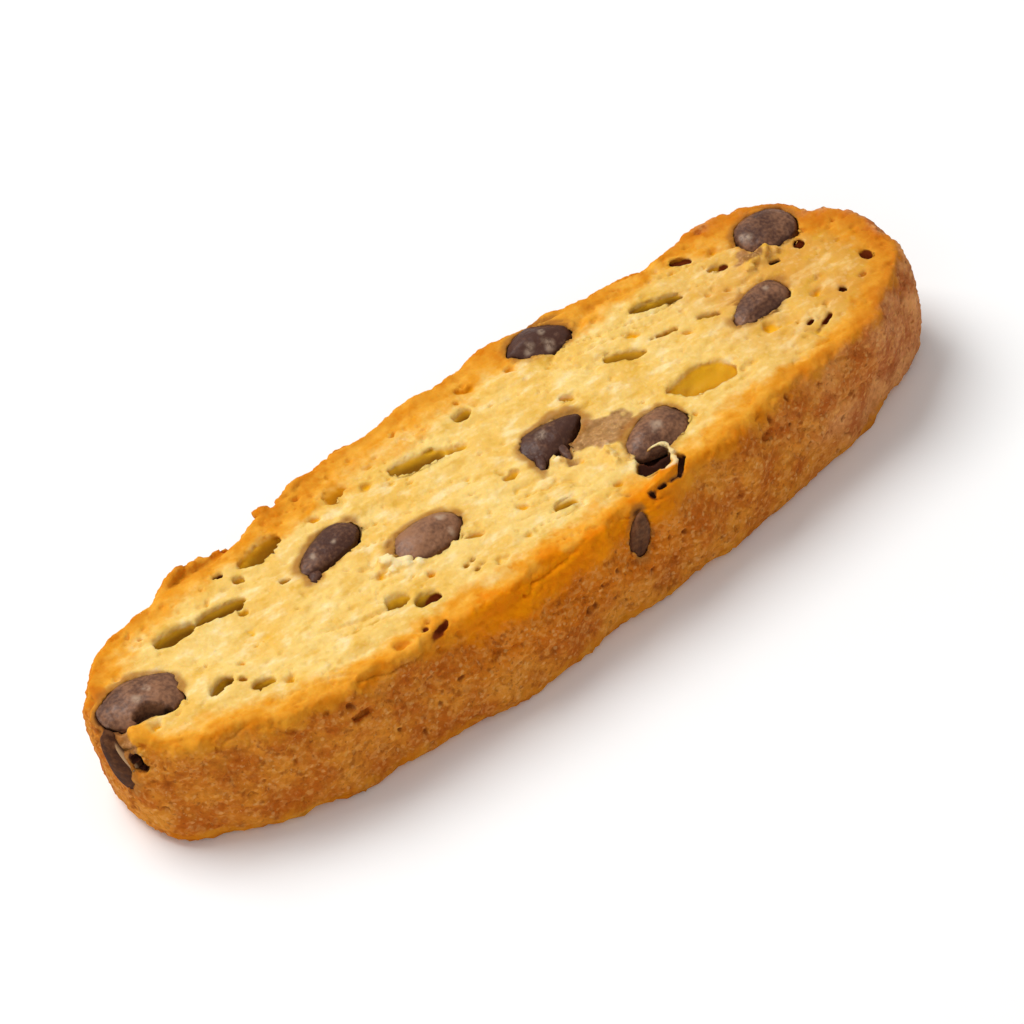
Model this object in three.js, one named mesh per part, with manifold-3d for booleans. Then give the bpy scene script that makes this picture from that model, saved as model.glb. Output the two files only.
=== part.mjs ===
// One biscotto: a twice-baked almond-style biscuit with chocolate chips, cut on the slant from a low loaf.
// It lies on one cut face with the other cut face up. The crust that was the loaf's skin runs all the way
// round between the two cut faces. Units are millimetres. +X runs along the slice towards its right end,
// +Y towards its far side, +Z up. The origin is the bottom centre of the box that holds the slice.

import * as THREE from "three";
import { mergeVertices } from "three/addons/utils/BufferGeometryUtils.js";
import Module from "manifold-3d";

// Driving dimensions of the slice, measured from the middle of its plain outline at mid-height.
const HALF_LENGTH = { left: 52.5, right: 51.7 };
const HALF_WIDTH = { near: 14.8, far: 13.8 };
const THICKNESS = 14.5;

// How square each quarter of the outline is: 2 is an ellipse, and more is squarer.
const SQUARENESS = { nearLeft: 2.5, nearRight: 3.6, farLeft: 2.95, farRight: 2.8 };

// The crust wall: the cut is slanted, so the upper face is shifted against the lower one, the wall swells
// between the faces, and a narrow rounded shoulder joins it to each cut face.
const SLANT = { x: -0.8, y: 1.5 };
const SWELL = 0.95;
const SHOULDER_IN = 0.9;
const SHOULDER_DOWN = 1.6;

// The hand-shaped loaf is uneven: slow waves round the outline, each with a height and a phase in radians.
const OUTLINE_WAVES = [
  { waves: 2, height: 0.69, phase: 0.22 },
  { waves: 4, height: 0.22, phase: -3.06 },
  { waves: 6, height: 0.22, phase: -2.15 },
  { waves: 7, height: 0.32, phase: 2.96 },
  { waves: 8, height: 0.37, phase: 1.77 },
  { waves: 9, height: 0.25, phase: 1.99 },
];

// Lumps and hollows of the wall: place round the outline in degrees, height up the wall, reach and rise.
const WALL_LUMPS = [
  { around: 4.4, up: 8.2, reach: 5.2, rise: 0.8 },
  { around: -42, up: 3.1, reach: 7.2, rise: -1.9 },
  { around: -100, up: 2.9, reach: 8.4, rise: 1.1 },
  { around: 116, up: 12, reach: 12, rise: -0.9 },
];

// Small crags of the crust: height, and radians per millimetre along X, Y and Z, and phase.
const CRAGS = [
  { height: 0.14, along: 0.61, across: -0.42, up: 0.35, phase: 4.0 },
  { height: 0.1, along: 0.93, across: 0.66, up: -0.51, phase: 2.3 },
];

// Facets: steps round the outline, in each shoulder and up the wall.
const OUTLINE_STEPS = 100;
const OUTLINE_SAMPLES = 3600;
const SHOULDER_STEPS = 2;
const WALL_STEPS = 3;

// Chocolate chips are widest below the face, which closes over them but for a narrow gap, and stand proud of
// it, the ones in the crust less. A chip's length and width are those that show at the face, and its height
// is limited to a share of its width.
const CHIP_HEIGHT = 3.6;
const CHIP_ROUNDNESS = 0.85;
const CHIP_PROUD = 0.9;
const WALL_CHIP_PROUD = 0.5;
const SOCKET_GAP = 0.35;
const SOCKET_DEPTH = 1.0;

// Chips in the upper cut face: centre, length, width, and turn about Z in degrees.
const UPPER_CHIPS = [
  { x: -48.3, y: 0.8, long: 8.8, wide: 6.0, turn: -16 },
  { x: -21.1, y: 3.8, long: 8.3, wide: 3.8, turn: 14 },
  { x: -12.7, y: -2.0, long: 8.2, wide: 4.7, turn: 0 },
  { x: 6.3, y: 0, long: 8.3, wide: 4.4, turn: 5 },
  { x: 14.4, y: -7.1, long: 7.6, wide: 5.0, turn: 12 },
  { x: 14.4, y: 11.8, long: 7.5, wide: 4.7, turn: -8 },
  { x: 35.1, y: -0.4, long: 7.6, wide: 3.9, turn: 10 },
  { x: 42.9, y: 7.6, long: 7.2, wide: 5.8, turn: -2 },
];

// A part of the first chip is broken off, which leaves a hollow in its near side.
const CHIP_BREAKS = [{ x: -48.7, y: -2.2, long: 3.4, wide: 1.6, turn: -16, deep: 2.2 }];

// Chips in the lower cut face follow one rule: even steps along the slice, swinging from side to side by a
// sine of the chip's number, with their length and turn varied by cosines of it.
const LOWER_CHIPS = {
  count: 9,
  reach: 88,
  swing: { by: 9.5, step: 2.4 },
  long: { mean: 7.8, by: 0.9, step: 3.1 },
  wide: { mean: 5.2, by: 0.3 },
  turn: { by: 25, step: 1.7 },
};

// Chips that break through the crust: place round the outline in degrees, height, size and turn.
const WALL_CHIPS = [
  { around: -89, up: 10.3, long: 5.6, wide: 2.6, turn: 82 },
  { around: -175.8, up: 10.4, long: 7.2, wide: 3.1, turn: 54 },
  { around: 112, up: 8.6, long: 7.0, wide: 4.4, turn: 12 },
  { around: 62, up: 5.4, long: 6.2, wide: 4.0, turn: 70 },
];

// Pits in the crust, placed the same way.
const WALL_HOLES = [
  { around: -121.5, up: 11.0, long: 3.2, wide: 1.6, turn: 10, deep: 0.9 },
  { around: -169.4, up: 11.5, long: 2.6, wide: 1.3, turn: 80, deep: 1.9 },
  { around: -75, up: 11.6, long: 2.2, wide: 1.3, turn: 20, deep: 0.8 },
  { around: 140, up: 6.2, long: 2.8, wide: 1.8, turn: 35, deep: 0.9 },
  { around: 84, up: 10.2, long: 2.6, wide: 1.5, turn: -15, deep: 0.9 },
];

// Knobs on the crust's upper rim, placed the same way.
const RIM_KNOBS = [
  { around: 125, up: 13.6, long: 3.4, wide: 2.2, turn: 0, rise: 0.5 },
  { around: 121.8, up: 13.4, long: 5.0, wide: 2.2, turn: 0, rise: 0.45 },
  { around: 117.5, up: 13.2, long: 6.0, wide: 2.2, turn: 0, rise: 0.35 },
  { around: 102, up: 13.6, long: 4.4, wide: 1.6, turn: 0, rise: 0.35 },
  { around: 17, up: 12.9, long: 2.8, wide: 2.4, turn: 0, rise: 0.45 },
];

// Air holes in the upper cut face: centre, length, width, turn in degrees and depth.
const UPPER_HOLES = [
  { x: -40.2, y: 5.1, long: 5.8, wide: 2.0, turn: -4, deep: 2.8 },
  { x: -34.9, y: 4.6, long: 7.4, wide: 1.5, turn: -8, deep: 2.2 },
  { x: -26.2, y: 8.4, long: 6.4, wide: 2.3, turn: 5, deep: 2.0 },
  { x: -15.7, y: 9.5, long: 3.6, wide: 1.9, turn: 18, deep: 0.8 },
  { x: -6.3, y: 7.0, long: 7.4, wide: 2.0, turn: -15, deep: 1.7 },
  { x: -41.2, y: -3.8, long: 3.9, wide: 1.7, turn: 15, deep: 2.0 },
  { x: -37.8, y: -6.5, long: 3.0, wide: 1.3, turn: -16, deep: 1.4 },
  { x: -20.6, y: -7.2, long: 3.2, wide: 1.8, turn: -15, deep: 1.3 },
  { x: -18.3, y: -9.1, long: 3.3, wide: 1.8, turn: -7, deep: 2.6 },
  { x: 27.1, y: 7.1, long: 7.2, wide: 2.1, turn: -18, deep: 2.8 },
  { x: 19.5, y: 3.5, long: 5.4, wide: 1.5, turn: -28, deep: 1.3 },
  { x: 23.3, y: -5.1, long: 8.6, wide: 4.2, turn: -13, deep: 2.8 },
  { x: 1.4, y: 8.9, long: 2.8, wide: 1.4, turn: 10, deep: 1.3 },
  { x: 0.8, y: -8.8, long: 3.0, wide: 1.1, turn: -9, deep: 1.0 },
  { x: 11.4, y: -10.6, long: 4.8, wide: 2.5, turn: 0, deep: 3.2 },
  { x: 13.3, y: -12.7, long: 2.5, wide: 1.2, turn: 30, deep: 2.4 },
  { x: 29.9, y: 1.6, long: 3.2, wide: 1.0, turn: -30, deep: 1.3 },
  { x: 33.1, y: 10.1, long: 2.6, wide: 1.0, turn: -32, deep: 1.4 },
  { x: 38.5, y: -7.5, long: 2.6, wide: 0.8, turn: 17, deep: 1.4 },
];

// Air holes in the lower cut face, by a rule like the chips', set between them.
const LOWER_HOLES = {
  count: 8,
  reach: 78,
  swing: { by: 8.4, step: 1.9 },
  long: { mean: 6.4, by: 1.8, step: 3.1 },
  wide: { mean: 2.4, by: 0.5 },
  turn: { by: 25, step: 1.7 },
  deep: 2.2,
};

// Small pores, spread evenly over each cut face by a low-discrepancy sequence that starts at its own offset
// on each face. They stay a margin inside the outline and clear of what is larger.
const PORES = { count: 24, long: 2.1, wide: 1.3, deep: 0.8, turn: 30, margin: 4.2, clear: 0.9 };
const PORE_SIZES = { least: 0.7, range: 0.6 };
const PORE_OFFSETS = { upper: 0.13, lower: 0.57 };
const SEQUENCE_STEP = { along: 0.7548776662, across: 0.569840291, size: 0.6180339887 };

// A cut bubble's widest part lies this share of its depth below the face.
const WIDEST_BELOW = 0.3;

// Facets of the ellipsoids that chips, holes and pores are made from: round and down.
const CHIP_FACETS = [12, 7];
const HOLE_FACETS = [10, 6];
const PORE_FACETS = [6, 4];

const wasm = await Module();
wasm.setup();

const radians = (degrees) => (degrees * Math.PI) / 180;
const fraction = (value) => value - Math.floor(value);

// The half-length, half-width and squareness of the quarter of the outline that holds a direction.
function quarter(x, y) {
  return {
    a: x < 0 ? HALF_LENGTH.left : HALF_LENGTH.right,
    b: y < 0 ? HALF_WIDTH.near : HALF_WIDTH.far,
    n: SQUARENESS[(y < 0 ? "near" : "far") + (x < 0 ? "Left" : "Right")],
  };
}

const signedPower = (value, power) => Math.sign(value) * Math.abs(value) ** power;

// A point of the plain outline, and the angle that belongs to a point on or near it.
function outlinePoint(angle) {
  const c = Math.cos(angle);
  const s = Math.sin(angle);
  const { a, b, n } = quarter(c, s);
  return new THREE.Vector2(a * signedPower(c, 2 / n), b * signedPower(s, 2 / n));
}

function outlineAngle(x, y) {
  const { a, b, n } = quarter(x, y);
  return Math.atan2(signedPower(y / b, n / 2), signedPower(x / a, n / 2));
}

// Outward direction of an ellipse with the slice's length and width, near enough for small offsets.
function outwards(x, y) {
  const length = HALF_LENGTH.left + HALF_LENGTH.right;
  const width = HALF_WIDTH.near + HALF_WIDTH.far;
  return new THREE.Vector2(x / length ** 2, y / width ** 2).normalize();
}

const sum = (list, term) => list.reduce((total, item) => total + term(item), 0);

// Turns a point of the plain slab's wall into a point of the baked slice's.
function bake(point) {
  const angle = outlineAngle(point.x, point.y);
  const fromMiddle = (2 * point.z) / THICKNESS - 1;
  const waves = sum(OUTLINE_WAVES, (w) => w.height * Math.sin(w.waves * angle + w.phase));
  const lumps = sum(WALL_LUMPS, (l) => {
    const centre = outlinePoint(radians(l.around));
    const apart = Math.hypot(point.x - centre.x, point.y - centre.y, point.z - l.up);
    return l.rise * Math.exp(-((apart / l.reach) ** 2));
  });
  const crags = sum(CRAGS, (c) => {
    const run = c.along * point.x + c.across * point.y + c.up * point.z;
    return c.height * Math.sin(run + c.phase);
  });
  const out = SWELL * (1 - fromMiddle ** 2) + waves + lumps + crags;
  const direction = outwards(point.x, point.y);
  point.x += out * direction.x + (SLANT.x / 2) * fromMiddle;
  point.y += out * direction.y + (SLANT.y / 2) * fromMiddle;
  return point;
}

// The plain outline as corners an even distance apart.
function outlineCorners() {
  const fine = Array.from({ length: OUTLINE_SAMPLES + 1 }, (_, i) =>
    outlinePoint((i / OUTLINE_SAMPLES) * 2 * Math.PI),
  );
  const run = [0];
  for (let i = 1; i < fine.length; i += 1) {
    run.push(run[i - 1] + fine[i].distanceTo(fine[i - 1]));
  }
  const whole = run[OUTLINE_SAMPLES];
  return Array.from({ length: OUTLINE_STEPS }, (_, k) =>
    fine[run.findIndex((length) => length >= (k / OUTLINE_STEPS) * whole)].clone(),
  );
}

// A point of the wall and its outward direction, at an angle round the outline and a height.
function wallPoint(degrees, height) {
  const flat = outlinePoint(radians(degrees));
  const direction = outwards(flat.x, flat.y);
  const point = bake(new THREE.Vector3(flat.x, flat.y, height));
  return { point, direction: new THREE.Vector3(direction.x, direction.y, 0) };
}

// A closed three.js geometry as a manifold-3d solid.
function solidOf(geometry) {
  const bare = geometry.index ? geometry.toNonIndexed() : geometry.clone();
  bare.deleteAttribute("normal");
  bare.deleteAttribute("uv");
  const merged = mergeVertices(bare, 1e-4);
  return new wasm.Manifold(
    new wasm.Mesh({
      numProp: 3,
      vertProperties: new Float32Array(merged.attributes.position.array),
      triVerts: new Uint32Array(merged.index.array),
    }),
  );
}

// The slab with its rounded shoulders, baked into shape.
function slab() {
  const geometry = new THREE.ExtrudeGeometry(new THREE.Shape(outlineCorners()), {
    depth: THICKNESS - 2 * SHOULDER_DOWN,
    steps: WALL_STEPS,
    bevelThickness: SHOULDER_DOWN,
    bevelSize: SHOULDER_IN,
    bevelOffset: -SHOULDER_IN,
    bevelSegments: SHOULDER_STEPS,
  }).translate(0, 0, SHOULDER_DOWN);
  const position = geometry.attributes.position;
  const vertex = new THREE.Vector3();
  for (let i = 0; i < position.count; i += 1) {
    bake(vertex.fromBufferAttribute(position, i));
    position.setXYZ(i, vertex.x, vertex.y, vertex.z);
  }
  return solidOf(geometry);
}

// An ellipsoid with its own X and Y axes in the face, its Z axis along the face's outward direction.
function ellipsoid({ centre, facing, long, wide, high, turn, facets }) {
  const axis = new THREE.Vector3(0, 0, 1);
  const spin = new THREE.Quaternion().setFromAxisAngle(axis, radians(turn));
  const aim = new THREE.Quaternion().setFromUnitVectors(axis, facing);
  const place = new THREE.Matrix4().compose(centre, aim.multiply(spin), new THREE.Vector3(long, wide, high));
  return solidOf(new THREE.SphereGeometry(0.5, ...facets).rotateX(Math.PI / 2).applyMatrix4(place));
}

// A hollow whose widest part lies a little under the surface, as a cut bubble's does.
function hollow({ at, facing, long, wide, deep, turn, facets = HOLE_FACETS }) {
  const centre = at.clone().addScaledVector(facing, -WIDEST_BELOW * deep);
  const high = 2 * (1 - WIDEST_BELOW) * deep;
  return ellipsoid({ centre, facing, long, wide, high, turn, facets });
}

// A chip, and the shallow groove round it, which is widest at the face.
function chip({ at, facing, long, wide, turn }) {
  const high = Math.min(CHIP_HEIGHT, CHIP_ROUNDNESS * wide);
  const proud = (facing.z === 0 ? WALL_CHIP_PROUD : CHIP_PROUD) * (high / CHIP_HEIGHT);
  const below = high / 2 - proud;
  const shown = Math.sqrt(1 - (below / (high / 2)) ** 2);
  return ellipsoid({
    centre: at.clone().addScaledVector(facing, -below),
    facing,
    long: long / shown,
    wide: wide / shown,
    high,
    turn,
    facets: CHIP_FACETS,
  });
}

function socket({ at, facing, long, wide, turn }) {
  return ellipsoid({
    centre: at,
    facing,
    long: long + 2 * SOCKET_GAP,
    wide: wide + 2 * SOCKET_GAP,
    high: 2 * SOCKET_DEPTH,
    turn,
    facets: CHIP_FACETS,
  });
}

// A low knob, half sunk in the surface.
function knob({ at, facing, long, wide, turn, rise }) {
  return ellipsoid({ centre: at, facing, long, wide, high: 2 * rise, turn, facets: HOLE_FACETS });
}

const UP = new THREE.Vector3(0, 0, 1);
const DOWN = new THREE.Vector3(0, 0, -1);

// Places a feature of the upper or lower cut face, and one of the wall.
const onUpper = (f) => ({ ...f, at: new THREE.Vector3(f.x, f.y, THICKNESS), facing: UP });
const onLower = (f) => ({ ...f, at: new THREE.Vector3(f.x, f.y, 0), facing: DOWN });
function onWall(f) {
  const { point, direction } = wallPoint(f.around, f.up);
  return { ...f, at: point, facing: direction };
}

// Features in even steps along the lower face that swing from side to side and vary in size.
function swinging(rule) {
  return Array.from({ length: rule.count }, (_, i) => {
    const wave = Math.sin(rule.swing.step * (i + 1));
    return {
      x: rule.reach * ((i + 0.5) / rule.count - 0.5),
      y: rule.swing.by * wave - SLANT.y / 2,
      long: rule.long.mean + rule.long.by * Math.cos(rule.long.step * i),
      wide: rule.wide.mean + rule.wide.by * wave,
      turn: rule.turn.by * Math.cos(rule.turn.step * i),
      deep: rule.deep,
    };
  });
}

// Whether a pore keeps clear of the edge of the face and of the larger features already there.
function isFree(pore, features) {
  const { a, b, n } = quarter(pore.x, pore.y);
  const inside = Math.abs(pore.x / (a - PORES.margin)) ** n + Math.abs(pore.y / (b - PORES.margin)) ** n < 1;
  const apart = (f) => Math.hypot((pore.x - f.x) / f.long, (pore.y - f.y) / f.wide);
  return inside && features.every((f) => apart(f) > PORES.clear);
}

function pores(features, offset) {
  const found = [];
  for (let i = 1; found.length < PORES.count; i += 1) {
    const size = PORE_SIZES.least + PORE_SIZES.range * fraction(SEQUENCE_STEP.size * i);
    const pore = {
      x: 2 * HALF_LENGTH.left * (fraction(offset + SEQUENCE_STEP.along * i) - 0.5),
      y: 2 * HALF_WIDTH.near * (fraction(offset + SEQUENCE_STEP.across * i) - 0.5),
      long: PORES.long * size,
      wide: PORES.wide * size,
      deep: PORES.deep * size,
      turn: PORES.turn * Math.sin(i),
      facets: PORE_FACETS,
    };
    if (isFree(pore, features)) found.push(pore);
  }
  return found;
}

// The whole slice as one solid: the slab, less its holes, pores and sockets, with the chips and the knobs
// fused in.
function slice() {
  const lowerChips = swinging(LOWER_CHIPS);
  const lowerHoles = swinging(LOWER_HOLES);
  const chips = [...UPPER_CHIPS.map(onUpper), ...lowerChips.map(onLower), ...WALL_CHIPS.map(onWall)];
  const hollows = [
    ...UPPER_HOLES.map(onUpper),
    ...lowerHoles.map(onLower),
    ...WALL_HOLES.map(onWall),
    ...pores([...UPPER_CHIPS, ...UPPER_HOLES], PORE_OFFSETS.upper).map(onUpper),
    ...pores([...lowerChips, ...lowerHoles], PORE_OFFSETS.lower).map(onLower),
  ];
  let solid = slab();
  for (const feature of chips) {
    solid = solid.subtract(socket(feature));
  }
  for (const feature of hollows) {
    solid = solid.subtract(hollow(feature));
  }
  // Chips in the lower face are trimmed flush with it, so that the slice rests on a flat face.
  const side = 3 * HALF_LENGTH.left;
  const room = solidOf(new THREE.BoxGeometry(side, side, side).translate(0, 0, side / 2));
  for (const feature of chips) {
    solid = solid.add(chip(feature).intersect(room));
  }
  for (const feature of CHIP_BREAKS.map(onUpper)) {
    solid = solid.subtract(hollow(feature));
  }
  for (const feature of RIM_KNOBS.map(onWall)) {
    solid = solid.add(knob(feature));
  }
  return solid;
}

// A manifold-3d solid as a three.js geometry.
function geometryOf(solid) {
  const mesh = solid.getMesh();
  const geometry = new THREE.BufferGeometry();
  geometry.setAttribute("position", new THREE.BufferAttribute(mesh.vertProperties, 3));
  geometry.setIndex(new THREE.BufferAttribute(mesh.triVerts, 1));
  return geometry;
}

// Moves a geometry so that the bottom centre of its box is at the origin.
function seat(geometry) {
  geometry.computeBoundingBox();
  const { min, max } = geometry.boundingBox;
  geometry.translate(-(min.x + max.x) / 2, -(min.y + max.y) / 2, -min.z);
  geometry.computeVertexNormals();
  return geometry;
}

const crumbAndCrust = new THREE.MeshStandardMaterial({ color: 0xe0a850, roughness: 0.85, metalness: 0 });
const biscuit = new THREE.Mesh(seat(geometryOf(slice())), crumbAndCrust);
biscuit.name = "biscuit";

const biscotto = new THREE.Group();
biscotto.add(biscuit);

export default biscotto;
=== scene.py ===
import math
from copy import copy
from functools import partial

import bmesh
import bpy
import numpy as np
from mathutils import Matrix, Quaternion, Vector


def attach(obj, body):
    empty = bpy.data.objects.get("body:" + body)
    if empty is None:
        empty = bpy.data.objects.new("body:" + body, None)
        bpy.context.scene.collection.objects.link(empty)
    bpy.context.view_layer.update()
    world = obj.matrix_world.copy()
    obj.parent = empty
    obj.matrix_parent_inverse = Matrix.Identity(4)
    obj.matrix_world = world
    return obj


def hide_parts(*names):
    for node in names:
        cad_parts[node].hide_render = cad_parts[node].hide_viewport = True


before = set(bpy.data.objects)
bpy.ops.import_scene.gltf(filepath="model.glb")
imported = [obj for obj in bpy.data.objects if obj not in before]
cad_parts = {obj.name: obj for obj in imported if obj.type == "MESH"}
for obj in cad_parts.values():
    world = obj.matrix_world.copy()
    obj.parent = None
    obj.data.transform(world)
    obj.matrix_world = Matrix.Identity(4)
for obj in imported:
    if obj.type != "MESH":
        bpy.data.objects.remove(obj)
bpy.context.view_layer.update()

# ---- sizes, all in millimetres

MM = 0.001

# The plain outline at mid-height, and the wall between the two cut faces.
HALF_LENGTH = {"left": 52.5, "right": 51.7}
HALF_WIDTH = {"near": 14.8, "far": 13.8}
THICKNESS = 14.5
SQUARENESS = {"near_left": 2.5, "near_right": 3.6, "far_left": 2.95, "far_right": 2.8}
SLANT = (-0.8, 1.5)
SWELL = 0.95
SHOULDER_IN = 0.9
SHOULDER_DOWN = 1.6
OUTLINE_WAVES = [  # waves round the outline, height, phase
    (2, 0.69, 0.22),
    (4, 0.22, -3.06),
    (6, 0.22, -2.15),
    (7, 0.32, 2.96),
    (8, 0.37, 1.77),
    (9, 0.25, 1.99),
]
WALL_LUMPS = [  # degrees round the outline, height up the wall, reach, rise
    (4.4, 8.2, 5.2, 0.8),
    (-42, 3.1, 7.2, -1.9),
    (-100, 2.9, 8.4, 1.1),
    (116, 12, 12, -0.9),
]
CRAGS = [  # height, radians per millimetre along X, Y and Z, phase
    (0.14, 0.61, -0.42, 0.35, 4.0),
    (0.1, 0.93, 0.66, -0.51, 2.3),
]

# The slice's frame has its origin at the bottom centre of its box: this moves the outline's middle there.
SEAT = (0.259, 0.564)

RING_STEPS = 480
SHOULDER_STEPS = 5
WALL_STEPS = 16

# A chip's height is limited to a share of its width. It shrank from its socket, less in the crust.
CHIP_HEIGHT = 3.6
CHIP_ROUNDNESS = 0.85
CHIP_PROUD = 0.95
CHIP_SHRUNK = 0.2
WALL_CHIP_SHRUNK = 0.02
SOCKET_SLACK = -0.08
# How far from its face a chip and a hole colour the dough by them.
CHIP_DEPTH = 4
HOLE_REACH = 5
# Chips stay this far above the plane of the lower face.
CHIP_CLEARANCE = 0.03
# Chips sit against one side of their sockets, and the crumb has pulled away from the other.
CHIP_SHIFT = (0.12, 0.3, 0.0)
# Chips in the crust stand out less, because the crust baked flush with them.
WALL_CHIP_DOME = 0.4

# A chip's look where its row doesn't say.
CHIP_LOOK = dict(bloom=0.3, taper=0.0, corner=0.94, gap=0.1, broken=(0, 0, 0, 0))
# Chips in the upper cut face: x, y, length, width and turn in degrees. Then how bloomed the chocolate is, how much
# the chip narrows to one end, how pointed its corners are (1 is oval), how far the crumb has pulled away from it,
# and a broken-off part: its place along and across the chip, its reach, and its depth.
UPPER_CHIPS = [
    (-48.4, 0.5, 8.8, 6.0, -16, dict(bloom=0.5, corner=0.95, gap=0.3, broken=(0.1, -0.92, 0.46, 2.6))),
    (-21.2, 3.5, 8.3, 3.8, 14, dict(bloom=0.2, taper=-0.22, corner=0.84, gap=0.25)),
    (-12.8, -2.3, 8.2, 4.7, 0, dict(bloom=0.7, taper=0.15, gap=0.55)),
    (6.2, -0.3, 8.3, 4.4, 5, dict(bloom=0.12, taper=0.55, corner=0.95, gap=0.3)),
    (14.3, -7.4, 7.6, 5.0, 12, dict(bloom=0.5, taper=-0.2, gap=0.15)),
    (14.3, 11.5, 7.5, 4.7, -8, dict(bloom=0.1, corner=1.25, gap=0.1)),
    (35.0, -0.7, 7.6, 3.9, 10, dict(bloom=0.45, taper=-0.1, corner=0.88, gap=0.15)),
    (42.8, 7.3, 7.2, 5.8, -2, dict(bloom=0.35, gap=0.35)),
]
# Bits that ran from the edge of a chip.
CHIP_BITS = [
    (2.9, -2.2, 2.8, 1.4, 62, dict(bloom=0.05)),
    (5.7, -2.9, 2.6, 1.2, 75, dict(bloom=0.1)),
    (-24.6, 1.5, 2.1, 1.6, 40, dict(bloom=0.1)),
]
# Light spots on the chips, partly dusty bloom and partly painted highlights: x, y, size.
BLOOM_SPOTS = [
    (-49.0, 0.4, 1.3),
    (-47.4, 0.9, 0.7),
    (14.4, -7.3, 1.4),
    (40.3, 7.5, 1.3),
    (12.6, 11.1, 1.0),
    (14.9, 11.8, 1.0),
    (14.6, 10.2, 1.3),
    (36.5, 0.2, 0.9),
    (5.0, 0.2, 1.2),
    (-10.3, -1.5, 1.1),
    (-10.4, -3.6, 0.9),
    (-23.3, 3.3, 0.8),
    (-20.4, 3.4, 0.6),
]

# Chips and air holes in the lower cut face: how many, over what length, how far they swing from side to side and
# by what step, then the mean, change and step of each size and of the chips' bloom.
LOWER_CHIPS = dict(count=9, reach=88, swing=(9.5, 2.4), long=(7.8, 0.9, 3.1), wide=(5.2, 0.3), turn=(25, 1.7))
LOWER_HOLES = dict(count=8, reach=78, swing=(8.4, 1.9), long=(6.4, 1.8, 3.1), wide=(2.4, 0.5), turn=(25, 1.7))
LOWER_HOLE_DEPTH = 2.2
LOWER_BLOOM = (0.5, 0.4, 2.3)

# Chips that break through the crust: degrees round the outline, height, length, width, turn and look.
WALL_CHIPS = [
    (-89, 10.3, 5.6, 2.6, 82, dict(bloom=0.3, corner=1.2)),
    (-175.6, 10.4, 7.2, 3.4, 54, dict(bloom=-0.12, corner=1.05, taper=0.2)),
    (112, 8.6, 7.0, 4.4, 12, dict(bloom=0.2)),
    (62, 5.4, 6.2, 4.0, 70, dict(bloom=0.5)),
]
# A thread of crumb stuck across the second of them: along and across the chip at each end, as shares.
THREAD = ((1.05, -0.75), (-0.5, -0.95))
THREAD_RISE = 0.25

# Air holes in the upper cut face: x, y, length, width, turn, depth.
UPPER_HOLES = [
    (-40.2, 5.1, 5.8, 2.0, -4, 2.8),
    (-34.9, 4.6, 7.4, 1.5, -8, 2.2),
    (-26.2, 8.4, 6.4, 2.3, 5, 2.0),
    (-15.7, 9.5, 3.6, 1.9, 18, 0.8),
    (-6.3, 7.0, 7.4, 2.0, -15, 1.7),
    (-2.3, 5.7, 3.4, 1.0, -22, 0.8),
    (-41.2, -3.8, 3.9, 1.7, 15, 2.0),
    (-37.8, -6.5, 3.0, 1.3, -16, 1.4),
    (-20.6, -7.2, 3.2, 1.8, -15, 1.3),
    (-18.3, -9.1, 3.3, 1.8, -7, 2.6),
    (27.1, 7.1, 6.8, 1.8, -18, 2.8),
    (19.5, 3.5, 5.4, 1.5, -28, 1.3),
    (23.3, -5.3, 8.6, 3.6, -13, 2.8),
    (1.4, 8.9, 2.8, 1.4, 10, 1.3),
    (0.8, -8.8, 3.0, 1.1, -9, 1.0),
    (29.9, 1.6, 3.2, 1.0, -30, 1.3),
    (35.6, -5.9, 1.8, 0.5, 17, 0.9),
    (-9.0, -5.6, 2.9, 0.9, -27, 0.8),
    (11.0, 3.0, 2.2, 0.8, -29, 0.8),
    (-0.7, -1.5, 2.3, 0.9, 0, 0.8),
    (45.7, -5.3, 1.9, 0.6, 11, 0.9),
    (35.3, 6.8, 1.9, 0.9, -35, 0.9),
    (-30.7, 6.8, 1.5, 1.1, -10, 1.2),
    (-33.1, 2.9, 1.3, 0.9, -10, 0.9),
    (-27.3, 3.2, 1.4, 0.9, -8, 1.2),
    (-39.0, -4.7, 0.9, 0.8, 0, 1.0),
    (-10.5, 6.3, 1.1, 0.7, 0, 0.7),
]
# Deep round pinholes and small pits, painted dark inside as shade, by the same numbers.
BURNT_HOLES = [
    (44.1, 3.3, 1.4, 1.3, 0, 2.2),
    (48.2, -2.9, 1.1, 1.1, 0, 2.0),
    (42.7, -5.3, 1.1, 1.1, 0, 2.0),
    (33.1, 10.1, 2.6, 1.0, -32, 1.4),
    (38.5, -7.5, 2.4, 0.55, 17, 1.2),
    (36.9, -6.6, 2.0, 0.5, 17, 1.0),
    (-32.0, 8.6, 1.6, 0.8, -8, 1.2),
    (-17.7, -9.4, 1.7, 1.2, -7, 2.4),
    (-19.7, -13.0, 2.2, 0.6, 18, 1.0),
    (-21.2, -12.2, 1.1, 0.6, 12, 0.8),
    (35.9, 6.3, 0.9, 0.8, 0, 1.1),
    (37.5, 3.8, 0.8, 0.7, 0, 1.0),
    (8.1, -13.75, 0.8, 0.7, 40, 1.4),
]
# Each hole is three bubbles in a row: how far along from its middle, how far across, and how large, as shares.
HOLE_LOBES = [(-0.05, 0.0, 1.0), (0.52, 0.18, 0.66), (-0.56, -0.14, 0.58)]
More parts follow.
